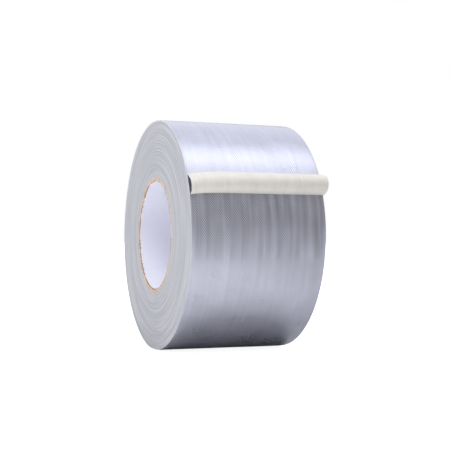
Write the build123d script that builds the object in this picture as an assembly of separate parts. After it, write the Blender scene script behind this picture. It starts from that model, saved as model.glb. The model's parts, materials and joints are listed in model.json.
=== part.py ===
"""Roll of wide silver duct tape standing on its tread, its free end curled back on itself.

The origin is the middle of the core's bore. +Y runs along the bore, away from the front face,
+X points out of the tread on the curled end's side and +Z is up. Millimetres and degrees.
"""

from build123d import *
from math import cos, radians, sin
import os

# Driving dimensions.
ROLL_RADIUS = 82.0
WIDTH = 96.0
BORE_RADIUS = 38.2

# The core: a paper liner, then plies of board wound over it.
LINER_THICKNESS = 0.3
PLY_COUNT = 6
PLY_THICKNESS = 0.55

# The web's layers, from the side that faces out on the roll to the side that sticks.
LAYERS = {"film": 0.08, "cloth": 0.08, "adhesive": 0.12}
TAPE_THICKNESS = sum(LAYERS.values())
STICKY_RADIUS = ROLL_RADIUS - TAPE_THICKNESS

# Where the web leaves the roll, as an angle round the bore from +X towards +Z.
LIFT_ANGLE = 21.1

# The free end, seen from the front face: the web folds out in a small lip that stays with the
# roll, stands up as a short wall, rolls over in a round crown and runs straight back down to the
# roll as a flap. Radii and lengths are those of its sticky side, which is outermost.
LIP_RADIUS = 1.0
LIP_TURN = 88.0
WALL_LENGTH = 2.0
CROWN_RADIUS = 6.0
CROWN_TURN = 150.0
CROWN_PIECES = 5
FLAP_GAP = 0.2

# The arcs that make one turn of the winding's spiral.
SPIRAL_ARCS = 4


def polar(radius, angle):
    """The point at this distance and angle from the bore's axis."""
    return Vector(radius * cos(radians(angle)), radius * sin(radians(angle)))


def across(section):
    """The solid that a section drawn across the bore makes over the roll's whole width."""
    return extrude(Plane.XZ * section, amount=WIDTH / 2, both=True)


def ring(inner_radius, outer_radius):
    """A plain tube round the bore."""
    return across(Circle(outer_radius) - Circle(inner_radius))


def spiral(outer_radius):
    """One turn of the winding, from the lift line round to one tape thickness below it."""
    arc_size = 360.0 / SPIRAL_ARCS
    drop = TAPE_THICKNESS / SPIRAL_ARCS
    radius = outer_radius - drop / 2
    centre = polar(drop / 2, LIFT_ANGLE)
    arcs = []
    for index in range(SPIRAL_ARCS):
        start = LIFT_ANGLE + index * arc_size
        arcs.append(CenterArc(centre, radius, start, arc_size))
        centre = centre + polar(drop, start + arc_size)
        radius = radius - drop
    return arcs


class Strip:
    """A stretch of the free end: straight, or bent to the left of the way that it runs."""

    def __init__(self, start, heading, length=0.0, radius=0.0, turn=0.0):
        self.start = start
        self.heading = heading
        self.length = length
        self.radius = radius
        self.turn = turn

    def side(self, depth):
        """The edge that lies this deep under the sticky side."""
        if self.turn:
            centre = self.start + polar(self.radius, self.heading + 90.0)
            return CenterArc(centre, self.radius - depth, self.heading - 90.0, self.turn)
        first = self.start + polar(depth, self.heading + 90.0)
        return Line(first, first + polar(self.length, self.heading))

    def end(self, low, high):
        """The edge across the strip's far end, between these two depths."""
        return Line(self.side(low) @ 1, self.side(high) @ 1)

    def layer(self, low, high):
        """The section of the part of the strip that lies between these two depths."""
        start = Line(self.side(low) @ 0, self.side(high) @ 0)
        sides = [self.side(low), self.side(high)]
        return make_face(Curve() + sides + [start, self.end(low, high)])

    def next(self, **shape):
        """The strip that carries on from this one's end."""
        return Strip(self.side(0.0) @ 1, self.heading + self.turn, **shape)


def flap_after(crown):
    """The straight end, whose film side stops just short of the roll."""
    film = crown.next(length=1.0).side(TAPE_THICKNESS)
    heading = film % 0
    along = (film @ 0).dot(heading)
    off_line = (film @ 0).length ** 2 - along**2
    length = -along - ((ROLL_RADIUS + FLAP_GAP) ** 2 - off_line) ** 0.5
    return crown.next(length=length)


def free_end():
    """The lip, then the strips that turn about the points where they start."""
    start = polar(STICKY_RADIUS, LIFT_ANGLE)
    lip = Strip(start, LIFT_ANGLE - 90.0, radius=LIP_RADIUS, turn=LIP_TURN)
    strips = [lip.next(length=WALL_LENGTH)]
    for _ in range(CROWN_PIECES):
        strips.append(strips[-1].next(radius=CROWN_RADIUS, turn=CROWN_TURN / CROWN_PIECES))
    strips.append(flap_after(strips[-1]))
    return lip, strips


def outer_turn(lip, low, high):
    """The section of one layer of the last turn, from the lip round to where turns pass below."""
    inside = spiral(STICKY_RADIUS + low)
    outside = spiral(STICKY_RADIUS + high)
    sides = [lip.side(low), lip.side(high)] + inside + outside
    ends = [lip.end(low, high), Line(inside[-1] @ 1, outside[-1] @ 1)]
    return make_face(Curve() + sides + ends)


def core_nodes():
    """The liner and the plies of the core, from the inside out."""
    radius = BORE_RADIUS + LINER_THICKNESS
    nodes = {"core_liner": ring(BORE_RADIUS, radius)}
    for index in range(PLY_COUNT):
        nodes[f"core_ply_{index + 1}"] = ring(radius, radius + PLY_THICKNESS)
        radius = radius + PLY_THICKNESS
    return nodes, radius


def tape_nodes(core_radius):
    """The turns below the last one, then the last turn and the free end, layer by layer."""
    surface = spiral(STICKY_RADIUS)
    step = Line(surface[-1] @ 1, surface[0] @ 0)
    below = make_face(Curve() + surface + [step]) - Circle(core_radius)
    nodes = {"wound_tape": across(below)}
    lip, strips = free_end()
    high = TAPE_THICKNESS
    for name, thickness in LAYERS.items():
        low = high - thickness
        nodes[f"outer_turn_{name}"] = across(outer_turn(lip, low, high))
        for index, strip in enumerate(strips):
            nodes[f"tail_{name}_{index + 1}"] = across(strip.layer(low, high))
        high = low
    return nodes, strips


core, core_radius = core_nodes()
tape, strips = tape_nodes(core_radius)
os.makedirs("parts", exist_ok=True)
for node, solid in {**core, **tape}.items():
    export_step(solid, f"parts/{node}.step")
for index, strip in enumerate(strips):
    print(f"hinge {index + 1}: x {strip.start.X:.4f} z {strip.start.Y:.4f}")
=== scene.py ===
"""The looks of a roll of silver duct tape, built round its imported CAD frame. Metres.

The bore runs along Y, the front face looks along -Y, and the free end curls outwards on the +X
side. Angles round the bore run from +X towards +Z.
"""
import json
import math

import bpy
import numpy as np
from mathutils import Matrix, Vector


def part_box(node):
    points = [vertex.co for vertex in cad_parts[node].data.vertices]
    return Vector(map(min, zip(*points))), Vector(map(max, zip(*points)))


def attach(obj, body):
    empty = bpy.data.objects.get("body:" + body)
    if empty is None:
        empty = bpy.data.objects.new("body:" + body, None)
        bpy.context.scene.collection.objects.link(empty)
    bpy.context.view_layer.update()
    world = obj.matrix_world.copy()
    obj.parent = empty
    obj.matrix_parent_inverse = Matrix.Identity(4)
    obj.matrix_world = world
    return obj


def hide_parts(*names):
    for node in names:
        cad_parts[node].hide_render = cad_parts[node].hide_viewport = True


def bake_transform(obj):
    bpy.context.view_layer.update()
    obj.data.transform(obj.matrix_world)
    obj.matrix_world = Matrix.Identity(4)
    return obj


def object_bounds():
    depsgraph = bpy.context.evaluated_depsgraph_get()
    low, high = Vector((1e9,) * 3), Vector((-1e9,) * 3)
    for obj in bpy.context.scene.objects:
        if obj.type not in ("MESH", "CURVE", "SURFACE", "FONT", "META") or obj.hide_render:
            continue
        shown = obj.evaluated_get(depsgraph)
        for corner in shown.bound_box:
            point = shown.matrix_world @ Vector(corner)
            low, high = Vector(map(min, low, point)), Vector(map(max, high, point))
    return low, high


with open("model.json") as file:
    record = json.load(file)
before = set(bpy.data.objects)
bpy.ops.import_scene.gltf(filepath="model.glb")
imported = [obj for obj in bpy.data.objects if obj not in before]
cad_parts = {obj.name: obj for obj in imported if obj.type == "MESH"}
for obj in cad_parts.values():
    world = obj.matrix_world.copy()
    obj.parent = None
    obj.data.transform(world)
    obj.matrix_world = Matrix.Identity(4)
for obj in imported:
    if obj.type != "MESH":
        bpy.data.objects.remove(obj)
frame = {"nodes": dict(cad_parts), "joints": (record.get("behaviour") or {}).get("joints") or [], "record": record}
cad_box = [list(corner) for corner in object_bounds()]

MM = 0.001
FULL_TURN = 2.0 * math.pi
rng = np.random.default_rng(41)


# ---------------------------------------------------------------- sizes, read from the frame

def heading_at(angle):
    """The unit vector in the XZ plane that points this way from the bore's axis."""
    return np.array([math.cos(angle), math.sin(angle)])


def left_of(heading):
    return np.array([-heading[1], heading[0]])


def node_points(name):
    """A CAD node's vertices as seen along the bore: rows of x and z."""
    return np.array([(v.co.x, v.co.z) for v in frame["nodes"][name].data.vertices])


FRONT, BACK = (corner.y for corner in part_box("wound_tape"))
WIDTH = BACK - FRONT
BORE = frame["record"]["mounts"][0]["dims"]["r_mm"] * MM
PLIES = sorted(n for n in frame["nodes"] if n.startswith("core_ply_"))
CORE_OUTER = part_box(PLIES[-1])[1].x

winding = node_points("wound_tape")
winding_radius = np.hypot(*winding.T)
LIFT_POINT = winding[winding_radius.argmax()]
LIFT = math.atan2(LIFT_POINT[1], LIFT_POINT[0])
STICKY = winding_radius.max()
TAPE = STICKY - winding_radius[winding_radius > 0.9 * STICKY].min()
ROLL = STICKY + TAPE

hinges = {j["name"]: np.array([j["pos_m"][0], j["pos_m"][2]]) for j in frame["joints"]}
HINGES = [hinges["tail_lift"]] + [hinges[f"tail_uncurl_{k}"] for k in range(1, len(hinges))]
TAIL = [f"tail_{k + 1}" for k in range(len(HINGES))]

# How much of the tread the free end covered before it was lifted.
FRESH_LENGTH = 46.0 * MM


# ---------------------------------------------------------------- smooth random shapes

def waves(*coordinates, lengths, count=14):
    """A smooth random field from about -1 to 1, whose bumps have these lengths."""
    total = 0.0
    for _ in range(count):
        phase = rng.uniform(0.0, FULL_TURN)
        for coordinate, length in zip(coordinates, lengths):
            phase = phase + coordinate * rng.normal(0.0, 1.0) * FULL_TURN / (2.0 * length)
        total = total + np.cos(phase)
    return total / math.sqrt(2.0 * count)


def ease(value, low, high):
    """0 up to low, 1 from high, and a smooth step between them."""
    t = np.clip((value - low) / (high - low), 0.0, 1.0)
    return t * t * (3.0 - 2.0 * t)


# ---------------------------------------------------------------- materials

class Graph:
    """A material's node tree, with short ways to add to it."""

    def __init__(self, name):
        self.material = bpy.data.materials.new(name)
        self.material.use_nodes = True
        self.tree = self.material.node_tree
        self.shader = self.tree.nodes["Principled BSDF"]

    def put(self, socket, value):
        if isinstance(value, bpy.types.NodeSocket):
            self.tree.links.new(value, socket)
        else:
            socket.default_value = value

    def set(self, **values):
        """Sets the shader's sockets: Base_Color=..., Roughness=..."""
        for name, value in values.items():
            self.put(self.shader.inputs[name.replace("_", " ")], value)

    def math(self, operation, first, second=0.0):
        node = self.tree.nodes.new("ShaderNodeMath")
        node.operation = operation
        self.put(node.inputs[0], first)
        self.put(node.inputs[1], second)
        return node.outputs[0]

    def weighted(self, *shares):
        """The sum of two values, each multiplied by its own share."""
        return self.math("ADD", *(self.math("MULTIPLY", value, share) for value, share in shares))

    def swing(self, value, size):
        """A value from 0 to 1, moved to swing about 0 over this size."""
        return self.math("MULTIPLY", self.math("SUBTRACT", value, 0.5), size)

    def distance(self, first, second):
        """How far a place with these two coordinates lies from the origin."""
        squares = [self.math("MULTIPLY", value, value) for value in (first, second)]
        return self.math("SQRT", self.math("ADD", *squares))

    def xyz(self, x=0.0, y=0.0, z=0.0):
        node = self.tree.nodes.new("ShaderNodeCombineXYZ")
        for socket, value in zip(node.inputs, (x, y, z)):
            self.put(socket, value)
        return node.outputs[0]

    def stretched(self, values, scales):
        """A vector of values, each multiplied by its own scale."""
        return self.xyz(*(self.math("MULTIPLY", v, scale) for v, scale in zip(values, scales)))

    def split(self, vector):
        node = self.tree.nodes.new("ShaderNodeSeparateXYZ")
        self.put(node.inputs[0], vector)
        return node.outputs

    def place(self):
        """The x, y and z of the piece's own place."""
        node = self.tree.nodes.new("ShaderNodeTexCoord")
        return self.split(node.outputs["Object"])

    def along_tape(self):
        """The distance along the web and the distance across it, in metres."""
        node = self.tree.nodes.new("ShaderNodeUVMap")
        node.uv_map = "tape"
        return self.split(node.outputs[0])[:2]

    def attribute(self, name):
        node = self.tree.nodes.new("ShaderNodeAttribute")
        node.attribute_name = name
        return node.outputs["Fac"]

    def noise(self, vector, scale=1.0, detail=2.0, roughness=0.5):
        node = self.tree.nodes.new("ShaderNodeTexNoise")
        self.put(node.inputs["Vector"], vector)
        self.put(node.inputs["Scale"], scale)
        self.put(node.inputs["Detail"], detail)
        self.put(node.inputs["Roughness"], roughness)
        return node.outputs["Fac"]

    def remap(self, value, low, high, new_low, new_high):
        """new_low up to low, new_high from high, and a smooth step between them."""
        node = self.tree.nodes.new("ShaderNodeMapRange")
        node.interpolation_type = "SMOOTHSTEP"
        for socket, number in zip(node.inputs, (value, low, high, new_low, new_high)):
            self.put(socket, number)
        return node.outputs[0]

    def mix(self, share, first, second):
        node = self.tree.nodes.new("ShaderNodeMix")
        node.data_type = "RGBA"
        self.put(node.inputs["Factor"], share)
        self.put(node.inputs[6], first)
        self.put(node.inputs[7], second)
        return node.outputs[2]

    def bump(self, height, distance):
        node = self.tree.nodes.new("ShaderNodeBump")
        self.put(node.inputs["Distance"], distance)
        self.put(node.inputs["Height"], height)
        self.put(self.shader.inputs["Normal"], node.outputs[0])


def shade(red, green, blue):
    """A colour given as a screen shows it, turned into the linear one that Blender takes."""
    linear = [((c + 0.055) / 1.055) ** 2.4 if c > 0.04045 else c / 12.92
              for c in (red, green, blue)]
    return (*linear, 1.0)


# The cloth's threads: how far apart they lie along the web, and across it.
WEFT = 0.98 * MM
WARP = 0.75 * MM
# How far its rows sway out of line, in radians of one thread, and how closely the sways follow.
SWAY = 2.5
SWAY_SCALE = 22.0


def weave(graph, along, across):
    """The cloth's threads showing through: one bump for each crossing, 0 to 1."""
    wander = graph.noise(graph.xyz(along, across), SWAY_SCALE, 0.0)
    shift = graph.math("MULTIPLY", wander, SWAY)
    ways = []
    for distance, pitch in ((along, WEFT), (across, WARP)):
        phase = graph.math("ADD", graph.math("MULTIPLY", distance, math.pi / pitch), shift)
        ways.append(graph.math("SINE", phase))
    crossing = graph.math("MULTIPLY", *ways)
    return graph.math("ADD", graph.math("MULTIPLY", crossing, 0.5), 0.5)


def film_material(length):
    """Silver plastic film over cloth. Its last stretch was covered until the end was lifted: it is rougher
    there, with streaks left by the adhesive, and the threads stand out, and its colour there is darkened
    as painted shade under the curl."""
    g = Graph("silver_film")
    along, across = g.along_tape()
    threads = weave(g, along, across)
    streaks = g.noise(g.stretched((along, across), (14.0, 260.0)), 1.0, 3.0)
    clouds = g.noise(g.xyz(along, across), 55.0, 4.0, 0.6)
    grain = g.noise(g.xyz(along, across), 2600.0, 2.0)
    brink = g.math("ADD", along, g.swing(clouds, 9.0 * MM))
    start = length - FRESH_LENGTH
    fresh = g.remap(brink, start - 1.0 * MM, start + 4.0 * MM, 0.0, 1.0)
    dull_and_shaded = g.remap(brink, start - 9.0 * MM, start + 14.0 * MM, 0.0, 1.0)
    worn = g.swing(streaks, g.math("ADD", fresh, 0.3))
    near_lift = g.remap(along, 30.0 * MM, 52.0 * MM, 0.7, 0.05)
    raised = g.math("ADD", fresh, near_lift)
    dots = g.swing(threads, g.math("MULTIPLY", raised, 0.95))
    tone = g.math("ADD", g.weighted((clouds, 0.35), (grain, 0.1)), worn)
    tone = g.math("ADD", tone, g.math("ADD", dots, 0.30))
    # painted shade: the stretch under the curl is darkened in colour, besides being made rougher below
    tone = g.math("SUBTRACT", tone, g.math("MULTIPLY", dull_and_shaded, 0.06))
    colour = g.mix(tone, shade(0.55, 0.55, 0.58), shade(0.86, 0.865, 0.92))
    rough = g.math("ADD", g.weighted((clouds, 0.14), (dull_and_shaded, 0.14)), 0.22)
    g.set(Base_Color=colour, Metallic=0.78, Roughness=rough)
    relief = g.math("ADD", g.math("MULTIPLY", raised, 0.85), 0.12)
    height = g.math("ADD", g.math("MULTIPLY", threads, relief), g.math("MULTIPLY", worn, 1.2))
    g.bump(g.math("ADD", height, g.math("MULTIPLY", clouds, 0.8)), 0.065 * MM)
    return g.material


def sticky_material():
    """Cream rubber adhesive, spread in faint lines along the web with the cloth just showing."""
    g = Graph("cream_adhesive")
    along, across = g.along_tape()
    threads = weave(g, along, across)
    lines = g.noise(g.stretched((along, across), (30.0, 320.0)), 1.0, 3.0)
    blotches = g.noise(g.xyz(along, across), 140.0, 3.0, 0.6)
    tone = g.weighted((lines, 0.55), (blotches, 0.45))
    colour = g.mix(tone, shade(0.81, 0.79, 0.75), shade(0.955, 0.94, 0.905))
    g.set(Base_Color=colour, Roughness=g.remap(blotches, 0.3, 0.7, 0.32, 0.48))
    g.bump(g.weighted((threads, 0.35), (lines, 0.8)), 0.03 * MM)
    return g.material


def edge_material():
    """The cut edge of the web: film, threads and adhesive in one pale line."""
    g = Graph("cut_edge")
    along, across = g.along_tape()
    fluff = g.noise(g.xyz(along, across), 1500.0, 3.0, 0.7)
    colour = g.mix(fluff, shade(0.80, 0.80, 0.80), shade(0.96, 0.95, 0.94))
    g.set(Base_Color=colour, Roughness=0.7)
    g.bump(fluff, 0.06 * MM)
    return g.material


def winding_material():
    """The wound side: pale bluish grey, each turn's edge a little lighter or darker, with a few
    lighter ones, and the outermost turns lightest."""
    g = Graph("wound_side")
    turn = g.attribute("turn")
    x, y, z = g.place()
    each = g.noise(g.stretched((turn, x, z), (0.25, 12.0, 12.0)), 1.0, 4.0, 0.75)
    wide = g.noise(g.stretched((turn, x, z), (0.30, 16.0, 16.0)), 1.0, 1.0)
    lines = g.remap(wide, 0.56, 0.68, 0.0, 1.0)
    fluff = g.noise(g.xyz(x, y, z), 900.0, 4.0, 0.7)
    tone = g.math("ADD", g.remap(each, 0.34, 0.68, 0.05, 0.55), g.math("MULTIPLY", lines, 0.18))
    tone = g.math("ADD", tone, g.swing(fluff, 0.35))
    tone = g.math("ADD", tone, g.remap(turn, 0.5, 4.0, 0.45, 0.0))
    colour = g.mix(tone, shade(0.68, 0.683, 0.705), shade(0.90, 0.902, 0.92))
    g.set(Base_Color=colour, Roughness=0.72)
    g.bump(g.math("ADD", fluff, each), 0.05 * MM)
    return g.material


def board_material():
    """Tan paperboard, torn and fibrous where it is cut, and brown inside where the liner is torn, darkened there
    further as painted shade.
    """
    g = Graph("core_board")
    x, y, z = g.place()
    fibres = g.noise(g.xyz(x, y, z), 700.0, 5.0, 0.7)
    patches = g.noise(g.xyz(x, y, z), 260.0, 3.0)
    tone = g.weighted((fibres, 0.7), (patches, 0.3))
    # painted shade: the board darkens towards the bore, in the recesses the torn liner leaves; the brown is partly
    # its own colour
    ragged = g.math("ADD", g.distance(x, z), g.swing(patches, 2.4 * MM))
    tone = g.math("MULTIPLY", tone, g.remap(ragged, BORE + 0.30 * MM, BORE + 1.00 * MM, 0.1, 1.1))
    colour = g.mix(tone, shade(0.58, 0.46, 0.38), shade(1.0, 0.94, 0.89))
    g.set(Base_Color=colour, Roughness=0.9)
    g.bump(fibres, 0.12 * MM)
    return g.material


def paper_material():
    """Smooth white paper, with the faint mottle of its fibres and a warmer tone at its cut rims."""
    g = Graph("core_paper")
    x, y, z = g.place()
    mottle = g.noise(g.xyz(x, y, z), 260.0, 5.0, 0.65)
    soft = g.noise(g.xyz(x, y, z), 35.0, 2.0)
    tone = g.weighted((mottle, 0.5), (soft, 0.5))
    colour = g.mix(tone, shade(0.90, 0.90, 0.955), shade(0.97, 0.97, 1.0))
    cut = g.remap(g.math("ABSOLUTE", y), BACK - 1.6 * MM, BACK - 0.6 * MM, 0.0, 1.0)
    colour = g.mix(g.math("MULTIPLY", cut, mottle), colour, shade(1.0, 0.95, 0.91))
    g.set(Base_Color=colour, Roughness=0.62)
    g.bump(mottle, 0.03 * MM)
    return g.material


def floor_material():
    """A pale studio floor. It glows to the camera's own rays, which hides its shadows from them,
    and away from the roll it gives off a little light to every ray."""
    g = Graph("pale_floor")
    x, y, _ = g.place()
    clouds_and_shade = g.math("MULTIPLY", g.noise(g.xyz(x, y), 3.0, 3.0), 0.1)
    # painted shade: the floor's colour darkens towards the back (+Y), on top of its faint clouds
    clouds_and_shade = g.math("ADD", clouds_and_shade, g.remap(y, -20.0 * MM, 110.0 * MM, 0.0, 0.9))
    g.set(Base_Color=g.mix(clouds_and_shade, FLOOR_NEAR, FLOOR_FAR), Roughness=0.6)
    seen = g.tree.nodes.new("ShaderNodeLightPath").outputs["Is Camera Ray"]
    away = g.remap(g.distance(x, y), 42.0 * MM, 120.0 * MM, 0.0, FLOOR_LIGHT)
    lit = g.math("MULTIPLY", away, g.remap(y, 0.0, 100.0 * MM, 1.0, 0.3))
    glow = g.math("ADD", g.math("MULTIPLY", seen, FLOOR_GLOW), lit)
    g.set(Emission_Color=(1.0, 1.0, 1.0, 1.0), Emission_Strength=glow)
    return g.material


# ---------------------------------------------------------------- mesh helpers

def new_object(name, vertices, faces, materials, slots=None, normals=None):
    mesh = bpy.data.meshes.new(name)
    mesh.from_pydata([tuple(v) for v in vertices], [], faces)
    for material in materials:
        mesh.materials.append(material)
    if slots is not None:
        mesh.polygons.foreach_set("material_index", slots)
    mesh.shade_smooth()
    if normals is not None:
        mesh.normals_split_custom_set_from_vertices([tuple(n) for n in normals])
    piece = bpy.data.objects.new(name, mesh)
    bpy.context.scene.collection.objects.link(piece)
    return piece


def give_uv(piece, values):
    """Writes the tape coordinates, one pair for each vertex, to the piece's corners."""
    layer = piece.data.uv_layers.new(name="tape")
    corner_vertex = np.zeros(len(piece.data.loops), np.int32)
    piece.data.loops.foreach_get("vertex_index", corner_vertex)
    layer.data.foreach_set("uv", np.asarray(values, np.float32)[corner_vertex].ravel())


def grid_normals(grid):
    """Smooth normals of a grid whose second direction closes on itself."""
    along = np.gradient(grid, axis=0)
    around = np.roll(grid, -1, axis=1) - np.roll(grid, 1, axis=1)
    normals = np.cross(around, along)
    return normals / np.maximum(np.linalg.norm(normals, axis=2, keepdims=True), 1e-12)


# ---------------------------------------------------------------- the web

COLUMNS = 96
BEVEL = 0.06 * MM


def web_section():
    """Once round the web's cross-section: places across it, and depths from sticky to film."""
    inner = np.linspace(FRONT + BEVEL, BACK - BEVEL, COLUMNS)
    across = np.concatenate([inner, [BACK, BACK], inner[::-1], [FRONT, FRONT]])
    depth = np.concatenate([np.zeros(COLUMNS), [0.25, 0.75], np.ones(COLUMNS), [0.75, 0.25]])
    return across, depth


ACROSS, DEPTH = web_section()
LOOP = len(ACROSS)
FILM, STICK, EDGE = range(3)


def loop_slot(index):
    """The material of the faces between this place in the section and the next."""
    if index < COLUMNS - 1:
        return STICK
    if COLUMNS + 2 <= index < 2 * COLUMNS + 1:
        return FILM
    return EDGE


def web_piece(name, grid, normals, along, materials):
    """A closed piece of the web from a grid of stations and places round its section."""
    count = len(grid)
    faces, slots = [], []
    for i in range(count - 1):
        for j in range(LOOP):
            k = (j + 1) % LOOP
            faces.append((i * LOOP + j, i * LOOP + k, (i + 1) * LOOP + k, (i + 1) * LOOP + j))
            slots.append(loop_slot(j))
    for station in (0, count - 1):
        base = station * LOOP
        for j in range(COLUMNS - 1):
            far = 2 * COLUMNS + 1 - j
            cap = (base + j, base + j + 1, base + far - 1, base + far)
            faces.append(cap if station else cap[::-1])
            slots.append(EDGE)
        for corner in (COLUMNS - 1, 2 * COLUMNS + 1):
            ring = [base + (corner + step) % LOOP for step in range(4)]
            faces.append(tuple(ring if station else ring[::-1]))
            slots.append(EDGE)
    piece = new_object(name, grid.reshape(-1, 3), faces, materials, slots, normals.reshape(-1, 3))
    give_uv(piece, np.column_stack([np.repeat(along, LOOP), np.tile(ACROSS, count)]))
    return piece


def web_grid(points, normals):
    """Every station's section: points on the sticky side, and normals towards the film."""
    section = points + normals * (DEPTH * TAPE)[None, :, None]
    across = np.broadcast_to(ACROSS[None, :], section.shape[:2])
    return np.stack([section[..., 0], across, section[..., 1]], axis=2)


STATIONS = 420


def tread_relief(turn, across):
    """How far the film of the last turn stands out: broad waves, fine ripples, lines where it was
    peeled and a rounding off along both cut edges. It ends smoothly at the lift line."""
    along = turn * ROLL
    relief = 0.05 * MM * waves(along, across, lengths=(45.0 * MM, 30.0 * MM))
    ripples = waves(along, across, lengths=(12.0 * MM, 5.0 * MM), count=40)
    relief = relief + 0.03 * MM * ripples * (1.2 - ease(along, 60.0 * MM, 130.0 * MM))
    fresh = ease(turn, FULL_TURN - 0.70, FULL_TURN - 0.25)
    for _ in range(16):
        middle = rng.uniform(FRONT, BACK)
        breadth = rng.uniform(0.7, 2.4) * MM
        height = rng.uniform(-0.03, 0.05) * MM
        sway = 0.6 * MM * np.sin(turn * rng.uniform(2.0, 5.0) + rng.uniform(0.0, FULL_TURN))
        relief = relief + fresh * height * np.exp(-(((across - middle - sway) / breadth) ** 2))
    edge = np.minimum(across - FRONT, BACK - across)
    relief = relief - 0.10 * MM * np.exp(-((edge / (0.5 * MM)) ** 2))
    return relief * ease(along, 0.0, 5.0 * MM) * ease(FULL_TURN * ROLL - along, 0.0, 5.0 * MM)


def build_tread(materials):
    """The last turn on the roll, from the lift line round to where it would pass below it."""
    turn = np.linspace(0.0, FULL_TURN, STATIONS)
    angle = LIFT + turn
    outward = np.column_stack([np.cos(angle), np.sin(angle)])
    points = outward * (STICKY - TAPE * turn / FULL_TURN)[:, None]
    grid = web_grid(points[:, None, :], outward[:, None, :])
    relief = tread_relief(turn[:, None], ACROSS[None, :]) * (DEPTH > 0.5)[None, :]
    grid[..., 0] += outward[:, None, 0] * relief
    grid[..., 2] += outward[:, None, 1] * relief
    piece = web_piece("last_turn", grid, grid_normals(grid), turn * ROLL, materials)
    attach(piece, "roll")
    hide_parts("outer_turn_film", "outer_turn_cloth", "outer_turn_adhesive")


# ---------------------------------------------------------------- the curled free end

# The distance between stations.
FREE_END_STEP = 0.22 * MM


def circle_through(first, second, third):
    """The centre of the circle through three points."""
    rows = np.array([second - first, third - first])
    middles = np.array([(second + first) / 2.0, (third + first) / 2.0])
    return np.linalg.solve(rows, (rows * middles).sum(axis=1))


def arc(centre, start, end, step):
    """Points anticlockwise from start towards end, which isn't among them."""
    first = math.atan2(*(start - centre)[::-1])
    size = (math.atan2(*(end - centre)[::-1]) - first) % FULL_TURN
    radius = np.linalg.norm(start - centre)
    count = max(2, round(size * radius / step))
    angles = first + size * np.arange(count) / count
    return centre + radius * np.column_stack([np.cos(angles), np.sin(angles)])


def straight(start, end, step):
    count = max(2, round(np.linalg.norm(end - start) / step))
    return start + (end - start) * (np.arange(count) / count)[:, None]


def free_end_line(step):
    """The sticky side of the free end from the lift line to its tip, as the CAD pieces run, and
    the middle of its round crown."""
    first, second, last = HINGES[0], HINGES[1], HINGES[-1]
    rise = first - LIFT_POINT
    outward = heading_at(LIFT)
    lip_centre = LIFT_POINT + outward * (rise @ rise) / (2.0 * rise @ outward)
    crown_centre = circle_through(second, HINGES[len(HINGES) // 2], last)
    ahead = left_of((last - crown_centre) / np.linalg.norm(last - crown_centre))
    tip = last + ahead * ((node_points(f"tail_adhesive_{len(TAIL)}") - last) @ ahead).max()
    runs = [arc(lip_centre, LIFT_POINT, first, step), straight(first, second, step),
            arc(crown_centre, second, last, step), straight(last, tip, step)]
    return np.concatenate(runs + [tip[None, :]]), crown_centre


def around_centre(points, centre):
    """The angle and the distance of points from a centre; the angle runs on past half a turn."""
    offset = points - centre
    angle = np.unwrap(np.arctan2(offset[..., 1], offset[..., 0]), axis=0)
    return angle, np.linalg.norm(offset, axis=-1)


def hand_rolled(line, travelled, centre):
    """The sticky side for every place in the section: the curl is flatter and hangs lower at the
    front face and stands a little taller at the back. Each station keeps its angle round the
    crown's middle, so that the cuts between pieces still point at it."""
    place = (ACROSS - FRONT) / WIDTH
    front = np.exp(-(ACROSS - FRONT) / (11.0 * MM))
    uneven = waves(ACROSS, lengths=(24.0 * MM,))
    taller = 0.93 + 0.21 * place - 0.29 * front + 0.02 * uneven
    longer = 1.0 + 0.06 * (1.0 - front)
    droop = (0.15 + 1.7 * front + 0.12 * waves(ACROSS, lengths=(30.0 * MM,))) * MM
    free = ease(travelled, 0.0, 2.4 * MM)[:, None]
    angle, radius = around_centre(line, np.zeros(2))
    height = (radius - ROLL)[:, None]
    rise = np.where(height > 0.0, height * (1.0 + free * (taller - 1.0)), height)
    above_roll = 0.45 * MM * ease(travelled, 8.0 * MM, 9.0 * MM)[:, None]
    radius = ROLL + np.maximum(rise, above_roll + np.minimum(height, 0.0))
    angle = LIFT + (angle - LIFT)[:, None] * (1.0 + free * (longer - 1.0)) - free * droop / ROLL
    shaped = radius[..., None] * np.stack([np.cos(angle), np.sin(angle)], axis=2)
    bearing, _ = around_centre(line, centre)
    last_bearing, _ = around_centre(HINGES[-1][None, :], centre)
    result = np.empty_like(shaped)
    for column in range(LOOP):
        own, distance = around_centre(shaped[:, column], centre)
        own = own + bearing[0] - own[0]
        beyond = ease(bearing, last_bearing[0], bearing[-1])
        target = bearing + (own[-1] - bearing[-1]) * beyond
        length = np.interp(target, own, distance)[:, None]
        result[:, column] = centre + length * np.column_stack([np.cos(target), np.sin(target)])
    return result


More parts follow.
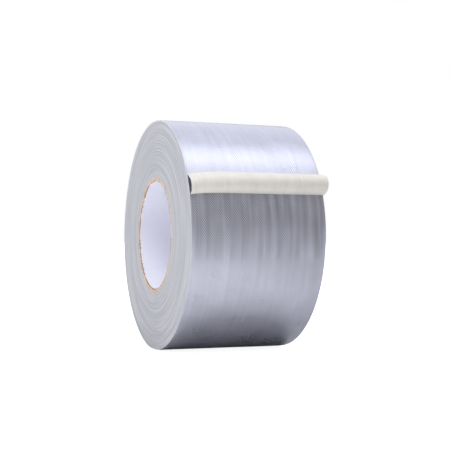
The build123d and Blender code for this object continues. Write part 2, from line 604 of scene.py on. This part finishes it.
def build_tail(materials):
    """The free end, as one run of the web cut half way along each CAD strip, so that every
    piece holds the one hinge in its middle."""
    line, centre = free_end_line(FREE_END_STEP)
    travelled = np.concatenate([[0.0], np.cumsum(np.linalg.norm(np.diff(line, axis=0), axis=1))])
    points = hand_rolled(line, travelled, centre)
    tangent = np.gradient(points, axis=0)
    tangent = tangent / np.linalg.norm(tangent, axis=2, keepdims=True)
    toward_film = np.stack([-tangent[..., 1], tangent[..., 0]], axis=2)
    toward_film[0] = heading_at(LIFT)
    grid = web_grid(points, toward_film)
    normals = grid_normals(grid)
    at_hinge = [int(np.linalg.norm(line - hinge, axis=1).argmin()) for hinge in HINGES]
    cuts = [0] + [(a + b) // 2 for a, b in zip(at_hinge, at_hinge[1:])] + [len(line) - 1]
    for index, body in enumerate(TAIL):
        first, last = cuts[index], cuts[index + 1]
        part = slice(first, last + 1)
        piece = web_piece(f"free_end_{index + 1}", grid[part], normals[part], -travelled[part],
                          materials)
        middle = at_hinge[index]
        along = left_of(HINGES[index] - centre)
        along = along / np.linalg.norm(along)
        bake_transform(piece)
        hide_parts(*(f"tail_{layer}_{index + 1}" for layer in ("film", "cloth", "adhesive")))


# ---------------------------------------------------------------- the wound sides

SIDE_COLUMNS = 168
SIDE_SINK = 0.05 * MM


def side_relief(row, turn, angle):
    """How far a place on the wound side stands out: telescoped groups, and each turn's edge."""
    position = row / 2.0 + turn
    ring = (np.cos(angle), np.sin(angle))
    groups = waves(position, *ring, lengths=(11.0, 1.6, 1.6), count=20)
    layers = waves(np.floor(row / 2.0) + turn, *ring, lengths=(0.8, 2.2, 2.2), count=24)
    ridge = np.where(row % 2 == 1, 0.022, -0.022)
    proud = np.clip(groups - 0.55, 0.0, None) * 0.16
    return MM * (0.02 * groups + 0.035 * layers + ridge + proud)


def build_winding(material):
    """Every turn below the last one: one closed spiral block with relief on both sides."""
    half = TAPE / 2.0
    vertices, turns, columns = [], [], []
    for column in range(SIDE_COLUMNS):
        share = column / SIDE_COLUMNS
        outer = STICKY - TAPE * share
        rows = int((outer - CORE_OUTER - 0.3 * half) / half) + 1
        columns.append((share, rows))
    most = max(rows for _, rows in columns)
    row = np.arange(most)[None, :]
    share = np.array([s for s, _ in columns])[:, None]
    front_relief = side_relief(row, share, LIFT + FULL_TURN * share)
    back_relief = side_relief(row, share, LIFT + FULL_TURN * share)
    fronts, backs = [], []
    for column, (share, rows) in enumerate(columns):
        outward = heading_at(LIFT + FULL_TURN * share)
        radii = [STICKY - half * (r + 2.0 * share) for r in range(rows)] + [CORE_OUTER]
        sides = ((fronts, -1.0, FRONT, front_relief), (backs, 1.0, BACK, back_relief))
        for side, out, start, relief in sides:
            side.append(range(len(vertices), len(vertices) + rows + 1))
            for r, radius in enumerate(radii):
                x, z = outward * radius
                push = relief[column, min(r, rows - 1)] - SIDE_SINK
                vertices.append((x, start + out * push, z))
                turns.append(r / 2.0 + share)
    faces = []
    for side, flip in ((fronts, False), (backs, True)):
        for column in range(SIDE_COLUMNS):
            here = list(side[column])
            ahead = list(side[(column + 1) % SIDE_COLUMNS])
            if column == SIDE_COLUMNS - 1:
                ahead = ahead[2:]
            shared = min(len(here), len(ahead)) - 2
            rings = [(here[r], here[r + 1], ahead[r + 1], ahead[r]) for r in range(shared)]
            rings.append(tuple(here[shared:] + ahead[shared:][::-1]))
            faces += [f[::-1] if flip else f for f in rings]
    for column in range(SIDE_COLUMNS):
        ahead = (column + 1) % SIDE_COLUMNS
        skip = 0 if ahead else 2
        faces.append((fronts[column][0], fronts[ahead][skip], backs[ahead][skip], backs[column][0]))
        faces.append((fronts[ahead][-1], fronts[column][-1], backs[column][-1], backs[ahead][-1]))
    for r in range(2):
        faces.append((fronts[0][r + 1], fronts[0][r], backs[0][r], backs[0][r + 1]))
    piece = new_object("winding", vertices, faces, [material])
    attribute = piece.data.attributes.new("turn", "FLOAT", "POINT")
    attribute.data.foreach_set("value", np.array(turns, np.float32))
    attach(piece, "roll")
    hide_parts("wound_tape")


# ---------------------------------------------------------------- the core

RING_COLUMNS = 420

# The liner's seam: how far it runs along the bore for each radian round it, how deep it is, and
# how far it spreads, as what a cosine falls by.
SEAM_SLANT = 55.0 * MM
SEAM_DEPTH = 0.06 * MM
SEAM_SPREAD = 0.00006


def swept_ring(name, section, shift, material):
    """A closed ring from a section of (radius, y) points. The two values that shift gives for
    each place are added to its y and to its radius."""
    angle = FULL_TURN * np.arange(RING_COLUMNS) / RING_COLUMNS
    count = len(section)
    radius, across = np.array(section).T
    rise, push = shift(angle[:, None], radius[None, :], across[None, :])
    r = radius[None, :] + push
    x = r * np.cos(angle)[:, None]
    z = r * np.sin(angle)[:, None]
    grid = np.stack([x, across[None, :] + rise, z], axis=2)
    faces = []
    for i in range(RING_COLUMNS):
        k = (i + 1) % RING_COLUMNS
        for j in range(count):
            m = (j + 1) % count
            faces.append((i * count + j, i * count + m, k * count + m, k * count + j))
    return new_object(name, grid.reshape(-1, 3), faces, [material])


def ring_section(inner, outer, columns, rim):
    """Once round a tube's wall: along the inside, over the back rim, and home outside."""
    radii = np.linspace(inner, outer, rim + 2)[1:-1]
    inside = [(inner, y) for y in np.linspace(FRONT, BACK, columns)]
    back = [(r, BACK) for r in radii]
    outside = [(outer, BACK), (outer, FRONT)]
    front = [(r, FRONT) for r in radii[::-1]]
    return inside + back + outside + front


def around(angle, length, count=16):
    """A smooth random value round the bore that meets itself."""
    return waves(np.cos(angle), np.sin(angle), lengths=(length, length), count=count)


def build_core(board, paper):
    """The plies of board with their rough cut rims, and the paper liner with a seam that winds
    along it and with torn rims."""
    for index, node in enumerate(PLIES):
        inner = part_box(PLIES[index - 1] if index else "core_liner")[1].x
        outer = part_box(node)[1].x

        def rough(angle, radius, across):
            rims = (np.abs(across) > 0.999 * BACK).astype(float)
            place = (np.cos(angle), np.sin(angle), radius)
            fibres = np.abs(waves(*place, lengths=(0.03, 0.03, 0.4 * MM), count=30))
            edge = np.abs(radius - (inner + outer) / 2.0) / (outer - inner) * 2.0
            sink = MM * (0.06 + 0.10 * fibres + 0.10 * edge ** 4 + 0.04 * around(angle, 0.4))
            return -np.sign(across) * rims * sink, 0.0 * angle * radius

        piece = swept_ring(f"board_ply_{index + 1}", ring_section(inner, outer, 2, 4), rough, board)
        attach(piece, "roll")
        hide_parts(node)

    def torn(angle, radius, across):
        tear = np.clip(around(angle, 0.035, 40) - 0.1, 0.0, None) * 0.9
        tear = tear + np.clip(around(angle, 0.3, 12), 0.0, None) * 0.25
        reach = ease(np.abs(across), 0.93 * BACK, BACK)
        seam = np.cos(angle - across / SEAM_SLANT)
        groove = SEAM_DEPTH * np.exp(-(1.0 - seam) / SEAM_SPREAD)
        return -np.sign(across) * reach * MM * (0.5 + tear), groove * (radius < BORE + 0.01 * MM)

    liner = swept_ring("liner_paper", ring_section(BORE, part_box("core_liner")[1].x, 90, 1), torn, paper)
    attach(liner, "roll")
    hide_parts("core_liner")


# ---------------------------------------------------------------- stage, light and camera

FLOOR_GLOW = 0.9
FLOOR_LIGHT = 0.29
FLOOR_NEAR = shade(0.93, 0.93, 0.935)
FLOOR_FAR = shade(0.80, 0.80, 0.805)

# The ways from the roll to the two soft boxes, and the way that the bright ceiling lies.
OVERHEAD_BOX = Vector((0.11, 0.32, 0.92)).normalized()
TREAD_BOX = Vector((0.56, 0.357, 0.75)).normalized()
CEILING_TILT = math.radians(20.0)
CEILING = (-math.sin(CEILING_TILT), 0.0, math.cos(CEILING_TILT))


def build_floor():
    reach = 4.0
    level = cad_box[0][2]
    steps = np.linspace(-reach, reach, 9)
    vertices = [(x, y, level) for y in steps for x in steps]
    count = len(steps)
    faces = [(j * count + i, j * count + i + 1, (j + 1) * count + i + 1, (j + 1) * count + i)
             for j in range(count - 1) for i in range(count - 1)]
    floor = new_object("floor", vertices, faces, [floor_material()])


def area_light(name, place, size, power):
    """A soft box that looks at the roll."""
    light = bpy.data.lights.new(name, "AREA")
    light.shape = "RECTANGLE"
    light.size, light.size_y = size
    light.energy = power
    lamp = bpy.data.objects.new(name, light)
    lamp.location = place
    lamp.rotation_euler = (-Vector(place)).to_track_quat("-Z", "Y").to_euler()
    lamp.visible_camera = False
    bpy.context.scene.collection.objects.link(lamp)


def build_light():
    """A dim room with a bright tilted ceiling, one soft box overhead and one above the tread's
    curled side, a key light and a weak fill. The camera's own rays see plain white."""
    world = bpy.data.worlds.new("studio")
    world.use_nodes = True
    tree = world.node_tree
    background = tree.nodes["Background"]

    def node(kind, **values):
        made = tree.nodes.new(kind)
        for name, value in values.items():
            setattr(made, name, value)
        return made

    def remap(value, low, high, new_low, new_high):
        made = node("ShaderNodeMapRange", interpolation_type="SMOOTHSTEP")
        tree.links.new(value, made.inputs[0])
        for socket, number in zip(made.inputs[1:5], (low, high, new_low, new_high)):
            socket.default_value = number
        return made.outputs[0]

    def combine(operation, first, second):
        made = node("ShaderNodeMath", operation=operation)
        tree.links.new(first, made.inputs[0])
        tree.links.new(second, made.inputs[1])
        return made.outputs[0]

    def facing(way):
        """The cosine between a ray's direction and this way."""
        made = node("ShaderNodeVectorMath", operation="DOT_PRODUCT")
        tree.links.new(direction, made.inputs[0])
        made.inputs[1].default_value = way
        return made.outputs["Value"]

    direction = node("ShaderNodeTexCoord").outputs["Generated"]
    split = node("ShaderNodeSeparateXYZ")
    tree.links.new(direction, split.inputs[0])
    _, toward_back, upward = split.outputs
    ceiling = remap(facing(CEILING), 0.50, 0.70, 0.0, 1.0)
    behind = remap(toward_back, -0.35, 0.25, 0.35, 1.0)
    around_room = remap(toward_back, 0.30, 0.50, 0.40, 0.30)
    darker = remap(upward, 0.20, 0.55, 1.0, 0.55)
    room = combine("ADD", combine("MULTIPLY", ceiling, behind),
                   combine("MULTIPLY", around_room, darker))
    overhead_box = remap(facing(OVERHEAD_BOX), math.cos(0.28), math.cos(0.05), 0.0, 1.7)
    tread_box = remap(facing(TREAD_BOX), math.cos(0.21), math.cos(0.10), 0.0, 2.3)
    lit = combine("ADD", room, combine("ADD", overhead_box, tread_box))
    seen = node("ShaderNodeLightPath").outputs["Is Camera Ray"]
    tree.links.new(combine("MAXIMUM", lit, seen), background.inputs["Strength"])
    tint = node("ShaderNodeMix", data_type="RGBA")
    tree.links.new(combine("SUBTRACT", ceiling, seen), tint.inputs["Factor"])
    tint.inputs[6].default_value = (1.0, 1.0, 1.0, 1.0)
    tint.inputs[7].default_value = (0.95, 0.975, 1.06, 1.0)
    tree.links.new(tint.outputs[2], background.inputs["Color"])
    bpy.context.scene.world = world
    area_light("key", (0.20, -0.52, 1.17), (0.7, 0.7), 8.5)
    area_light("fill", (0.42, -0.32, 0.02), (0.25, 0.35), 0.18)
    bpy.context.scene.view_settings.view_transform = "Standard"


# The camera, as it was fitted to the roll's outlines: how far round from -Y it stands, how far it
# leans, its lens for a sensor of this width, and its place, as ways back, right and up.
CAMERA_AZIMUTH = math.radians(69.057)
CAMERA_LEAN = math.radians(0.636)
SENSOR_MM = 36.0
LENS_MM = 80.15
CAMERA_BACK, CAMERA_RIGHT, CAMERA_UP = 0.735255, 0.005745, 0.007704


def build_camera():
    """Close to level with the roll's middle, looking past the front face at the tread."""
    azimuth, lean = CAMERA_AZIMUTH, CAMERA_LEAN
    back = Vector((math.sin(azimuth), -math.cos(azimuth), 0.0))
    right = Vector((math.cos(azimuth), math.sin(azimuth), 0.0))
    up = Vector((0.0, 0.0, 1.0))
    tilted_right = math.cos(lean) * right + math.sin(lean) * up
    tilted_up = math.cos(lean) * up - math.sin(lean) * right
    camera = bpy.data.objects.new("camera", bpy.data.cameras.new("camera"))
    camera.data.sensor_width = SENSOR_MM
    camera.data.lens = LENS_MM
    place = back * CAMERA_BACK + right * CAMERA_RIGHT + up * CAMERA_UP
    turned = Matrix((tilted_right, tilted_up, back)).transposed().to_4x4()
    camera.matrix_world = Matrix.Translation(place) @ turned
    camera.data.clip_start, camera.data.clip_end = 0.01, 50.0
    bpy.context.scene.collection.objects.link(camera)
    bpy.context.scene.camera = camera


build_camera()
web_materials = [film_material(FULL_TURN * ROLL), sticky_material(), edge_material()]
build_tread(web_materials)
build_tail(web_materials)
build_winding(winding_material())
build_core(board_material(), paper_material())
build_floor()
build_light()
